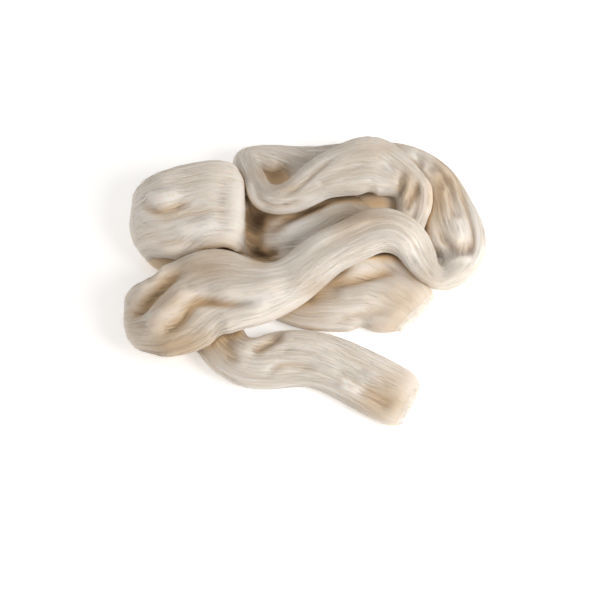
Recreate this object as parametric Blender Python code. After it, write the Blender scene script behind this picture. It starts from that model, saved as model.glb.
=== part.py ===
"""A length of combed wool top, cream white, folded back and forth into a loose bundle.

The strand is a soft, flattened rope of fine parallel fibres, and it is one solid. It is swept along its own centre
line through the sections in SECTIONS, from the broken end of the front tail to the broken end of the lower piece at
the right. On the way it runs under itself at the left, doubles back over the top, drops at the right, goes round
the back as a loop, turns into the neck and the fan, folds again, and lies over at the back left.

The tables are in millimetres and the mesh in metres. +X is right, +Y is back, +Z is up and the table is Z = 0.
"""

import bpy
import numpy as np
from mathutils.bvhtree import BVHTree

MM = 0.001
STEP = 6.2            # length of strand from one ring of points to the next
AROUND = 22           # points in a ring
ROUNDNESS = 2.3       # 2 is an ellipse, more is squarer
TIGHTEST = 0.80       # the inner side of a bend keeps to this part of the bend's radius
GAP = 1.0             # air between passes that lie on each other
OWN = 34.0            # a pass doesn't press on its own next 34 mm
PRESS_REACH = 7.0     # how far ahead and behind a section presses
EASE_ROUNDS = 12
END_DOME = 1.6        # the broken ends bulge this much
END_REACH = 30.0
TAIL_SLANT = 0.05     # how far an end is cut askew, over half its width
PIECE_SLANT = -0.12

# Where the strand's centre passes. across is the compass direction in which its width runs, counted from +X towards
# +Y, and lean tips that width. A pass on the table has its centre lower than half its thickness, so it lies flat.
# name, x, y, z, width, thick, across (degrees), lean (degrees)
SECTIONS = [
    ("tail_end",          67,   -96,    6, 42, 15,  60,  0),
    ("tail_1",            48,   -85,  6.5, 43, 16,  60,  0),
    ("tail_2",            27,   -73,    7, 42, 17,  68,  0),
    ("tail_3",             5,   -65,  7.5, 42, 18,  84,  0),
    ("tail_4",           -15,   -65,  7.5, 42, 18,  95,  0),
    ("tail_bend_1",      -34,   -67,  7.5, 38, 18,  80,  0),
    ("tail_bend_2",      -49,   -61,  7.5, 34, 17,  35,  0),
    ("tail_under_1",     -58,   -49,    7, 34, 16,  20,  0),
    ("tail_under_2",     -69,   -39,  6.5, 42, 15,  60,  0),
    ("left_under_1",     -86,   -34,    6, 46, 14,  88,  0),
    ("left_under_2",    -102,   -34,  6.5, 43, 13,  90,  0),
    ("left_turn",       -116,   -37,   16, 45, 14,  90,  2),
    ("left_top_1",      -103,   -41, 26.5, 61, 20,  94,  7),
    ("left_top_2",       -84,   -35,   27, 69, 25, 100,  6),
    ("middle_1",         -61, -25.5,   28, 68, 25, 104,  3),
    ("middle_2",         -36,   -25,   28, 50, 25, 108,  0),
    ("middle_3",         -11, -17.5,   28, 36, 24, 116,  0),
    ("middle_4",          12,   3.5,   28, 33, 24, 119,  0),
    ("middle_5",          32,    16,   28, 31, 25, 114,  0),
    ("middle_6",          53,    24,   29, 33, 26,  98,  0),
    ("right_drop_1",      70,    18,   28, 29, 25,  50,  0),
    ("right_drop_2",      80,   6.5,   21, 24, 18,  22,  0),
    ("right_drop_3",      92,  -3.5, 10.5, 16, 17,  60,  0),
    ("loop_1",           106,     5,    9, 22, 19, 128,  0),
    ("loop_2",           109,  20.5,   10, 39, 21, 165,  0),
    ("loop_3",           105,    40,   11, 44, 23, 182,  0),
    ("loop_4",         101.5,    59, 11.5, 38, 24, 194,  0),
    ("loop_5",          95.5,    76,   13, 32, 25, 215,  0),
    ("loop_6",            83,    89,   15, 27, 24, 242,  0),
    ("back_1",            66,    95,   14, 30, 23, 262,  0),
    ("back_2",            35,  94.5,   10, 39, 20, 270,  0),
    ("back_3",             4,    91,  8.5, 42, 19, 270,  0),
    ("back_4",           -18,    96, 10.5, 32, 19, 275,  0),
    ("neck_turn_1",      -43,    92,   17, 20, 20, 318,  0),
    ("neck_turn_2",      -37,    72,   24, 17, 18, 365,  0),
    ("neck_1",           -27,    53,   28, 18, 18, 415,  0),
    ("neck_2",           -10,  52.5,   29, 23.5, 20, 455,  0),
    ("fan_1",              9,  66.5,   29, 32, 20, 472,  0),
    ("fan_2",             29,    76,   29, 43, 20, 472,  0),
    ("fan_3",             49,    80,   29, 51, 21, 454,  0),
    ("fan_4",             60,    76,   27, 43, 20, 424,  0),
    ("fold_1",            74,    66,   25, 28, 19, 386,  0),
    ("fold_2",            77,    47,   19, 24, 17, 344,  0),
    ("fold_3",            68,    32,   10, 23, 16, 286,  0),
    ("behind_0",          46,    42,  8.5, 34, 18, 249,  0),
    ("behind_1",          31,    51,    9, 34, 20, 266,  0),
    ("behind_2",           8,    41,    8, 38, 18, 287,  0),
    ("behind_3",         -16,    35,    7, 44, 16, 282,  0),
    ("dip",              -38,    42,  5.5, 52, 12, 272,  0),
    ("climb",            -47,    45,   17, 64, 12, 270,  0),
    ("shoulder",         -53,    46, 28.5, 70, 16, 270, -2),
    ("lobe_1",           -74,    45,   29, 70, 21, 269, -5),
    ("lobe_2",           -95,  40.5, 26.5, 71, 26, 270, -8),
    ("lobe_turn_1",     -111,    40, 23.5, 66, 17, 272, -3),
    ("lobe_turn",       -119,    40,   15, 60, 13, 272,  0),
    ("under_1",         -105,    37,  5.5, 56, 13, 262,  0),
    ("under_2",          -80,    24,    6, 48, 14, 250,  0),
    ("under_3",          -49,     3,    6, 34, 14, 248,  0),
    ("under_4",          -21,    -9,    6, 44, 14, 256,  0),
    ("piece_1",            7,   -14,  6.5, 57, 17, 264,  0),
    ("piece_2",           34,   -11,  7.5, 66, 19, 264,  0),
    ("piece_3",           48, -12.5,  7.5, 66, 19, 263,  0),
    ("piece_4",           62, -19.5,  7.5, 58, 19, 259,  0),
    ("piece_end",         75, -28.5,    7, 46, 17, 255,  0),
]

# The folded ends of the two left lobes are round as seen from above: how far their skin lies to the right of a straight
# end, from all of it at BOW_FULL in X to none at BOW_NONE.
BOW_FULL, BOW_NONE = -118.0, -74.0
# y, shift
BOW = [
    (-75, 17.0), (-67, 12.5), (-60, 7.0), (-50, 1.5), (-42, 0.0), (-26, 0.0), (-17, 3.0), (-9, 7.5), (-1, 12.0),
    (5, 13.0), (11, 10.5), (17, 6.5), (23, 3.5), (31, 1.0), (38, 0.0), (60, 0.0), (70, 1.5), (76, 3.5), (82, 6.5),
    (90, 11.0),
]

# Long soft creases in the strand's upper face, each with its path: where it is across the width, from -1 to 1.
# face (1 where the strand lies right side up, -1 where it lies turned over), depth, reach to the -1 side, reach to
# the 1 side (parts of half the width), path
CREASES = [
    (1, 7.0, 0.28, 0.26, (("left_turn", 0.10), ("left_top_1", 0.25), ("left_top_2", 0.62), ("middle_1", 0.80))),
    (1, 8.0, 0.40, 0.22, (("left_top_1", -0.80), ("left_top_2", -0.30), ("middle_1", -0.02), ("middle_3", -0.30))),
    (1, 6.0, 0.24, 0.30, (("loop_1", -0.25), ("loop_3", -0.28), ("loop_6", -0.20))),
    (1, 4.0, 0.24, 0.24, (("fan_3", 0.10), ("fold_3", 0.10))),
    (1, 3.5, 0.24, 0.24, (("shoulder", -0.20), ("lobe_1", -0.12), ("lobe_2", 0.0), ("lobe_turn", 0.0))),
    (-1, 7.0, 0.22, 0.22, (("under_4", -0.40), ("piece_1", -0.38), ("piece_2", -0.44), ("piece_end", -0.72))),
    (-1, 2.5, 0.22, 0.22, (("tail_2", 0.20), ("tail_4", 0.10), ("tail_bend_2", -0.10))),
]


def unit(vectors):
    return vectors / np.maximum(np.linalg.norm(vectors, axis=-1, keepdims=True), 1e-9)


def spline(knots, values, at):
    """Natural cubic spline, for the centre line."""
    count = len(knots)
    gaps = np.diff(knots)
    matrix = np.zeros((count, count))
    right = np.zeros((count, values.shape[1]))
    matrix[0, 0] = matrix[-1, -1] = 1.0
    for i in range(1, count - 1):
        matrix[i, i - 1:i + 2] = gaps[i - 1], 2 * (gaps[i - 1] + gaps[i]), gaps[i]
        right[i] = 6 * ((values[i + 1] - values[i]) / gaps[i] - (values[i] - values[i - 1]) / gaps[i - 1])
    bend = np.linalg.solve(matrix, right)
    k = np.clip(np.searchsorted(knots, at, side="right") - 1, 0, count - 2)
    before, after, gap = (knots[k + 1] - at)[:, None], (at - knots[k])[:, None], gaps[k][:, None]
    return (
        (bend[k] * before**3 + bend[k + 1] * after**3) / (6 * gap)
        + (values[k] / gap - bend[k] * gap / 6) * before
        + (values[k + 1] / gap - bend[k + 1] * gap / 6) * after
    )


def ease(knots, values, at):
    """Curve that never overshoots its rows, for widths, thicknesses and angles."""
    gaps = np.diff(knots)[:, None]
    slopes = np.diff(values, axis=0) / gaps
    tangents = np.zeros_like(values)
    tangents[0], tangents[-1] = slopes[0], slopes[-1]
    same = slopes[:-1] * slopes[1:] > 0
    first, second = 2 * gaps[1:] + gaps[:-1], gaps[1:] + 2 * gaps[:-1]
    safe_a, safe_b = np.where(same, slopes[:-1], 1.0), np.where(same, slopes[1:], 1.0)
    tangents[1:-1] = np.where(same, (first + second) / (first / safe_a + second / safe_b), 0.0)
    k = np.clip(np.searchsorted(knots, at, side="right") - 1, 0, len(knots) - 2)
    gap = gaps[k]
    t = ((at - knots[k])[:, None]) / gap
    return (
        (2 * t**3 - 3 * t**2 + 1) * values[k] + (t**3 - 2 * t**2 + t) * gap * tangents[k]
        + (3 * t**2 - 2 * t**3) * values[k + 1] + (t**3 - t**2) * gap * tangents[k + 1]
    )


class Strand:
    """The centre line with its frames and sizes, a row for every STEP of its length."""

    def __init__(self, sections, step):
        table = np.array([row[1:] for row in sections], float)
        centres = table[:, :3]
        knots = np.concatenate([[0.0], np.cumsum(np.linalg.norm(np.diff(centres, axis=0), axis=1) ** 0.75)])
        fine = np.linspace(0, knots[-1], 6000)
        path = spline(knots, centres, fine)
        run = np.concatenate([[0.0], np.cumsum(np.linalg.norm(np.diff(path, axis=0), axis=1))])
        self.place = {row[0]: float(np.interp(knot, fine, run)) for row, knot in zip(sections, knots)}
        self.count = int(round(run[-1] / step)) + 1
        self.run = np.linspace(0, run[-1], self.count)
        at = np.interp(self.run, run, fine)
        self.centre = spline(knots, centres, at)
        sizes = ease(knots, table[:, 3:], at)
        self.half_width, self.half_thick = sizes[:, 0] / 2, sizes[:, 1] / 2
        self.along = unit(np.gradient(self.centre, self.run, axis=0))
        self.bend = np.gradient(self.along, self.run, axis=0)
        turn, lean = np.radians(sizes[:, 2]), np.radians(sizes[:, 3])[:, None]
        level = np.stack([np.cos(turn), np.sin(turn), np.zeros(self.count)], 1)
        level = unit(level - (level * self.along).sum(1, keepdims=True) * self.along)
        up = np.cross(self.along, level)
        self.across = level * np.cos(lean) + up * np.sin(lean)
        self.up = np.cross(self.along, self.across)

    def skin(self, around, creases):
        """The free surface, before the passes press on each other: rings of points."""
        angle = np.linspace(0, 2 * np.pi, around, endpoint=False)
        u = np.sign(np.cos(angle)) * np.abs(np.cos(angle)) ** (2 / ROUNDNESS)
        v = np.sign(np.sin(angle)) * np.abs(np.sin(angle)) ** (2 / ROUNDNESS)
        side, rise = self.half_width[:, None] * u, self.half_thick[:, None] * v
        for face, depth, below, above, path in creases:
            starts = np.array([self.place[name] for name, _ in path])
            where = np.array([[place] for _, place in path], float)
            part = (self.run - starts[0]) / (starts[-1] - starts[0])
            fade = np.clip(np.minimum(part, 1 - part) / 0.22, 0, 1)
            fade = fade * fade * (3 - 2 * fade)
            middle = ease(starts, where, np.clip(self.run, starts[0], starts[-1]))
            off = u - middle
            trough = depth * fade[:, None] * np.exp(-((off / np.where(off < 0, below, above)) ** 2))
            rise = rise - np.sign(v) * np.where(np.sign(v) == face, trough, 0) * np.minimum(1, 3 * np.abs(v))
        out = unit(side[..., None] * self.across[:, None] + rise[..., None] * self.up[:, None])
        reach = np.hypot(side, rise)
        inward = (out * self.bend[:, None]).sum(-1)
        limit = np.where(inward > 1e-4, TIGHTEST / np.maximum(inward, 1e-4), 1e3)
        part = (reach**-6 + limit**-6) ** (-1 / 6) / reach
        points = (
            self.centre[:, None]
            + (side * part)[..., None] * self.across[:, None]
            + (rise * part)[..., None] * self.up[:, None]
        )
        for end, slant in ((0, TAIL_SLANT), (-1, PIECE_SLANT)):
            near = np.clip(1 - np.abs(self.run - self.run[end]) / END_REACH, 0, 1) ** 2
            points += (near[:, None] * slant * side)[..., None] * self.along[:, None]
        return points

    def press(self, points):
        """Each pass gives way to the others: half of the depth to which it would lie in them, straight out of them."""
        move = np.zeros_like(points)
        size = np.maximum(self.half_width, self.half_thick)
        for i in range(self.count):
            far = np.abs(self.run - self.run[i]) > OWN
            close = np.linalg.norm(self.centre - self.centre[i], axis=1) < size + size[i] + PRESS_REACH
            others = np.nonzero(far & close)[0]
            if not len(others):
                continue
            offset = points[i][:, None] - self.centre[others][None]
            u = np.einsum("mkc,kc->mk", offset, self.across[others]) / self.half_width[others]
            v = np.einsum("mkc,kc->mk", offset, self.up[others]) / self.half_thick[others]
            w = np.einsum("mkc,kc->mk", offset, self.along[others]) / PRESS_REACH
            level = (np.abs(u) ** ROUNDNESS + np.abs(v) ** ROUNDNESS + np.abs(w) ** ROUNDNESS) ** (1 / ROUNDNESS)
            row, best = np.arange(len(u)), level.argmin(1)
            k, f = others[best], np.maximum(level[row, best], 1e-3)
            gu = np.sign(u[row, best]) * (np.abs(u[row, best]) / f) ** (ROUNDNESS - 1) / self.half_width[k]
            gv = np.sign(v[row, best]) * (np.abs(v[row, best]) / f) ** (ROUNDNESS - 1) / self.half_thick[k]
            way = gu[:, None] * self.across[k] + gv[:, None] * self.up[k]
            steep = np.maximum(np.linalg.norm(way, axis=1), 1e-6)
            depth = np.where(f < 1, np.minimum((1 - f) / steep, self.half_thick[k]), 0)
            move[i] = way / steep[:, None] * (depth / 2)[:, None]
        return move


def smooth(field, times):
    for _ in range(times):
        along = field.copy()
        along[1:-1] = (field[:-2] + 2 * field[1:-1] + field[2:]) / 4
        field = (np.roll(along, 1, 1) + 2 * along + np.roll(along, -1, 1)) / 4
    return field


def quads(first, last, around):
    """Faces between rings, turned so that they face out."""
    rings, steps = np.meshgrid(np.arange(first, last), np.arange(around), indexing="ij")
    nxt = (steps + 1) % around
    return np.stack(
        [rings * around + steps, rings * around + nxt, (rings + 1) * around + nxt, (rings + 1) * around + steps], -1
    ).reshape(-1, 4)


def ease_apart(points, run, rounds, gap):
    """Moves facing skins of different passes apart, a little each round, until gap of air lies between them."""
    count, around, _ = points.shape
    block = max(1, int(round(16.0 / (run[1] - run[0]))))
    for _ in range(rounds):
        move = np.zeros_like(points)
        flat = points.reshape(-1, 3)
        corners = [tuple(point) for point in flat]
        for start in range(0, count, block):
            stop = min(start + block, count)
            low, high = run[start] - OWN, run[stop - 1] + OWN
            faces = [quads(0, max(0, int(np.searchsorted(run, low)) - 1), around)]
            faces.append(quads(min(count - 1, int(np.searchsorted(run, high)) + 1), count - 1, around))
            faces = np.concatenate(faces).tolist()
            tree = BVHTree.FromPolygons(corners, faces)
            for i in range(start, stop):
                for j in range(around):
                    spot, normal, _, away = tree.find_nearest(corners[i * around + j], 12.0)
                    if spot is None:
                        continue
                    # measured along the normal, so that the open edge of the left-out part pushes nothing
                    height = (points[i, j] - np.array(spot)) @ np.array(normal)
                    if abs(height) < 0.7 * away:
                        continue
                    if height < gap:
                        move[i, j] = np.array(normal) * 0.55 * (gap - height)
        if not move.any():
            break
        points = points + smooth(move, 1)
        points[..., 2] = np.maximum(points[..., 2], 0)
    return points


def bowed(points):
    """The points with the left lobes' ends made round."""
    table = np.array(BOW)
    y = np.clip(points[..., 1], table[0, 0], table[-1, 0])
    shift = ease(table[:, 0], table[:, 1:], y.ravel())[:, 0].reshape(y.shape)
    part = np.clip((BOW_NONE - points[..., 0]) / (BOW_NONE - BOW_FULL), 0, 1)
    out = points.copy()
    out[..., 0] += shift * part * part * (3 - 2 * part)
    return out


def build_strand():
    strand = Strand(SECTIONS, STEP)
    points = strand.skin(AROUND, CREASES)
    points = points + smooth(strand.press(points), 2)
    points[..., 2] = np.maximum(points[..., 2], 0)
    points = bowed(ease_apart(points, strand.run, EASE_ROUNDS, GAP))
    count, around, _ = points.shape
    corners = points.reshape(-1, 3)
    faces = quads(0, count - 1, around).tolist()
    for end, outward in ((0, -1), (count - 1, 1)):
        ring = points[end]
        middle = ring.mean(0)
        way = strand.along[end] * outward
        inner = middle + 0.62 * (ring - middle) + way * END_DOME
        hub = middle + way * END_DOME * 1.3
        base = len(corners)
        corners = np.concatenate([corners, inner, hub[None]])
        for j in range(around):
            k = (j + 1) % around
            a, b = end * around + j, end * around + k
            faces.append([a, b, base + k, base + j][::outward])
            faces.append([base + j, base + k, base + around][::outward])
    corners[:, 2] = np.maximum(corners[:, 2], 0)
    low, high = corners.min(0), corners.max(0)
    corners = corners - np.array([(low[0] + high[0]) / 2, (low[1] + high[1]) / 2, low[2]])
    mesh = bpy.data.meshes.new("wool_strand")
    mesh.from_pydata((corners * MM).tolist(), [], faces)
    mesh.update()
    mesh.shade_smooth()
    strand_object = bpy.data.objects.new("wool_strand", mesh)
    bpy.context.scene.collection.objects.link(strand_object)
    return strand_object


def wool_material():
    wool = bpy.data.materials.new("cream_wool")
    wool.use_nodes = True
    shader = wool.node_tree.nodes["Principled BSDF"]
    shader.inputs["Base Color"].default_value = (0.78, 0.71, 0.61, 1.0)
    shader.inputs["Roughness"].default_value = 0.9
    shader.inputs["Metallic"].default_value = 0.0
    return wool


for old in list(bpy.data.objects):
    bpy.data.objects.remove(old)

bundle = build_strand()
bundle.data.materials.append(wool_material())
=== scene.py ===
"""A loose bundle of combed wool top, cream white, on a plain pale floor.

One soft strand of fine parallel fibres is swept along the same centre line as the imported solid, with the same passes
lying on each other. On top of that come the creases and ridges that the photograph shows, the shallow lengthwise
gathers between locks of fibre, the locks and single fibres that lie on the skin, the torn ends and a thin halo.

The tables are in millimetres and the meshes in metres. +X is right, +Y is back, +Z is up and the table is Z = 0.
"""

import math

import bpy
import numpy as np
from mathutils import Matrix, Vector
from mathutils.bvhtree import BVHTree


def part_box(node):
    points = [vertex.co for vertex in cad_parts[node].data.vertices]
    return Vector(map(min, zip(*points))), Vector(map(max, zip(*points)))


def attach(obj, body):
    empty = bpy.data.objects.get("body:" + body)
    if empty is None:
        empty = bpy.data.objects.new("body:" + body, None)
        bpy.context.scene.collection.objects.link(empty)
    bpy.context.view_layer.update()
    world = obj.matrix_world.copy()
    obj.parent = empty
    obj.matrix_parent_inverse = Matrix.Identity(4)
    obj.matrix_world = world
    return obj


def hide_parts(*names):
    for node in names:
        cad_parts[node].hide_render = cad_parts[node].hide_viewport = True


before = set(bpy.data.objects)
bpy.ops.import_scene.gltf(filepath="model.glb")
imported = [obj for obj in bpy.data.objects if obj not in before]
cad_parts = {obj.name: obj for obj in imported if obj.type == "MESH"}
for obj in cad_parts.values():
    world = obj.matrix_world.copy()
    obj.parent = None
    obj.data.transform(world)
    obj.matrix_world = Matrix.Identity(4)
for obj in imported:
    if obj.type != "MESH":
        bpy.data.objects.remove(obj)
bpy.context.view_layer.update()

MM = 0.001

# ---------------------------------------------------------------- the strand, as the solid has it

STEP = 6.2
AROUND = 22
ROUNDNESS = 2.3
TIGHTEST = 0.80
GAP = 1.0
OWN = 34.0
PRESS_REACH = 7.0
EASE_ROUNDS = 12
END_REACH = 30.0
TAIL_SLANT = 0.05
PIECE_SLANT = -0.12

# name, x, y, z, width, thick, across (degrees), lean (degrees)
SECTIONS = [
    ("tail_end",          67,   -96,    6, 42, 15,  60,  0),
    ("tail_1",            48,   -85,  6.5, 43, 16,  60,  0),
    ("tail_2",            27,   -73,    7, 42, 17,  68,  0),
    ("tail_3",             5,   -65,  7.5, 42, 18,  84,  0),
    ("tail_4",           -15,   -65,  7.5, 42, 18,  95,  0),
    ("tail_bend_1",      -34,   -67,  7.5, 38, 18,  80,  0),
    ("tail_bend_2",      -49,   -61,  7.5, 34, 17,  35,  0),
    ("tail_under_1",     -58,   -49,    7, 34, 16,  20,  0),
    ("tail_under_2",     -69,   -39,  6.5, 42, 15,  60,  0),
    ("left_under_1",     -86,   -34,    6, 46, 14,  88,  0),
    ("left_under_2",    -102,   -34,  6.5, 43, 13,  90,  0),
    ("left_turn",       -116,   -37,   16, 45, 14,  90,  2),
    ("left_top_1",      -103,   -41, 26.5, 61, 20,  94,  7),
    ("left_top_2",       -84,   -35,   27, 69, 25, 100,  6),
    ("middle_1",         -61, -25.5,   28, 68, 25, 104,  3),
    ("middle_2",         -36,   -25,   28, 50, 25, 108,  0),
    ("middle_3",         -11, -17.5,   28, 36, 24, 116,  0),
    ("middle_4",          12,   3.5,   28, 33, 24, 119,  0),
    ("middle_5",          32,    16,   28, 31, 25, 114,  0),
    ("middle_6",          53,    24,   29, 33, 26,  98,  0),
    ("right_drop_1",      70,    18,   28, 29, 25,  50,  0),
    ("right_drop_2",      80,   6.5,   21, 24, 18,  22,  0),
    ("right_drop_3",      92,  -3.5, 10.5, 16, 17,  60,  0),
    ("loop_1",           106,     5,    9, 22, 19, 128,  0),
    ("loop_2",           109,  20.5,   10, 39, 21, 165,  0),
    ("loop_3",           105,    40,   11, 44, 23, 182,  0),
    ("loop_4",         101.5,    59, 11.5, 38, 24, 194,  0),
    ("loop_5",          95.5,    76,   13, 32, 25, 215,  0),
    ("loop_6",            83,    89,   15, 27, 24, 242,  0),
    ("back_1",            66,    95,   14, 30, 23, 262,  0),
    ("back_2",            35,  94.5,   10, 39, 20, 270,  0),
    ("back_3",             4,    91,  8.5, 42, 19, 270,  0),
    ("back_4",           -18,    96, 10.5, 32, 19, 275,  0),
    ("neck_turn_1",      -43,    92,   17, 20, 20, 318,  0),
    ("neck_turn_2",      -37,    72,   24, 17, 18, 365,  0),
    ("neck_1",           -27,    53,   28, 18, 18, 415,  0),
    ("neck_2",           -10,  52.5,   29, 23.5, 20, 455,  0),
    ("fan_1",              9,  66.5,   29, 32, 20, 472,  0),
    ("fan_2",             29,    76,   29, 43, 20, 472,  0),
    ("fan_3",             49,    80,   29, 51, 21, 454,  0),
    ("fan_4",             60,    76,   27, 43, 20, 424,  0),
    ("fold_1",            74,    66,   25, 28, 19, 386,  0),
    ("fold_2",            77,    47,   19, 24, 17, 344,  0),
    ("fold_3",            68,    32,   10, 23, 16, 286,  0),
    ("behind_0",          46,    42,  8.5, 34, 18, 249,  0),
    ("behind_1",          31,    51,    9, 34, 20, 266,  0),
    ("behind_2",           8,    41,    8, 38, 18, 287,  0),
    ("behind_3",         -16,    35,    7, 44, 16, 282,  0),
    ("dip",              -38,    42,  5.5, 52, 12, 272,  0),
    ("climb",            -47,    45,   17, 64, 12, 270,  0),
    ("shoulder",         -53,    46, 28.5, 70, 16, 270, -2),
    ("lobe_1",           -74,    45,   29, 70, 21, 269, -5),
    ("lobe_2",           -95,  40.5, 26.5, 71, 26, 270, -8),
    ("lobe_turn_1",     -111,    40, 23.5, 66, 17, 272, -3),
    ("lobe_turn",       -119,    40,   15, 60, 13, 272,  0),
    ("under_1",         -105,    37,  5.5, 56, 13, 262,  0),
    ("under_2",          -80,    24,    6, 48, 14, 250,  0),
    ("under_3",          -49,     3,    6, 34, 14, 248,  0),
    ("under_4",          -21,    -9,    6, 44, 14, 256,  0),
    ("piece_1",            7,   -14,  6.5, 57, 17, 264,  0),
    ("piece_2",           34,   -11,  7.5, 66, 19, 264,  0),
    ("piece_3",           48, -12.5,  7.5, 66, 19, 263,  0),
    ("piece_4",           62, -19.5,  7.5, 58, 19, 259,  0),
    ("piece_end",         75, -28.5,    7, 46, 17, 255,  0),
]

# The folded ends of the two left lobes are round as seen from above: how far their skin lies to the right of a straight
# end, by its place in Y, from all of it at BOW_FULL to none at BOW_NONE.
BOW_FULL, BOW_NONE = -118.0, -74.0
BOW = [
    (-75, 17.0), (-67, 12.5), (-60, 7.0), (-50, 1.5), (-42, 0.0), (-26, 0.0), (-17, 3.0), (-9, 7.5), (-1, 12.0),
    (5, 13.0), (11, 10.5), (17, 6.5), (23, 3.5), (31, 1.0), (38, 0.0), (60, 0.0), (70, 1.5), (76, 3.5), (82, 6.5),
    (90, 11.0),
]

# The solid's own soft creases. face (1 where the strand lies right side up, -1 where it lies turned over), depth,
# reach to the -1 side, reach to the 1 side (parts of half the width), path (row, place across the width)
CREASES = [
    (1, 7.0, 0.28, 0.26, (("left_turn", 0.10), ("left_top_1", 0.25), ("left_top_2", 0.62), ("middle_1", 0.80))),
    (1, 8.0, 0.40, 0.22, (("left_top_1", -0.80), ("left_top_2", -0.30), ("middle_1", -0.02), ("middle_3", -0.30))),
    (1, 6.0, 0.24, 0.30, (("loop_1", -0.25), ("loop_3", -0.28), ("loop_6", -0.20))),
    (1, 4.0, 0.24, 0.24, (("fan_3", 0.10), ("fold_3", 0.10))),
    (1, 3.5, 0.24, 0.24, (("shoulder", -0.20), ("lobe_1", -0.12), ("lobe_2", 0.0), ("lobe_turn", 0.0))),
    (-1, 7.0, 0.22, 0.22, (("under_4", -0.40), ("piece_1", -0.38), ("piece_2", -0.44), ("piece_end", -0.72))),
    (-1, 2.5, 0.22, 0.22, (("tail_2", 0.20), ("tail_4", 0.10), ("tail_bend_2", -0.10))),
]

# ---------------------------------------------------------------- what the visible strand adds

FINE_STEP = 1.90      # length of strand from one fine ring to the next
FINE_AROUND = 96

# The same creases, as soft as they lie between the folds that STROKES adds
FINE_CREASES = [
    (1, 2.5, 0.22, 0.22, (("left_turn", 0.10), ("left_top_1", 0.25), ("left_top_2", 0.62), ("middle_1", 0.80))),
    (1, 4.0, 0.12, 0.25, (("loop_1", -0.25), ("loop_3", -0.30), ("loop_6", -0.20))),
    (1, 2.0, 0.24, 0.24, (("fan_3", 0.10), ("fold_3", 0.10))),
    (-1, 3.0, 0.14, 0.14, (("under_4", -0.40), ("piece_1", -0.38), ("piece_2", -0.44), ("piece_end", -0.72))),
    (-1, 1.5, 0.18, 0.18, (("tail_2", 0.20), ("tail_4", 0.10), ("tail_bend_2", -0.10))),
]

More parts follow.
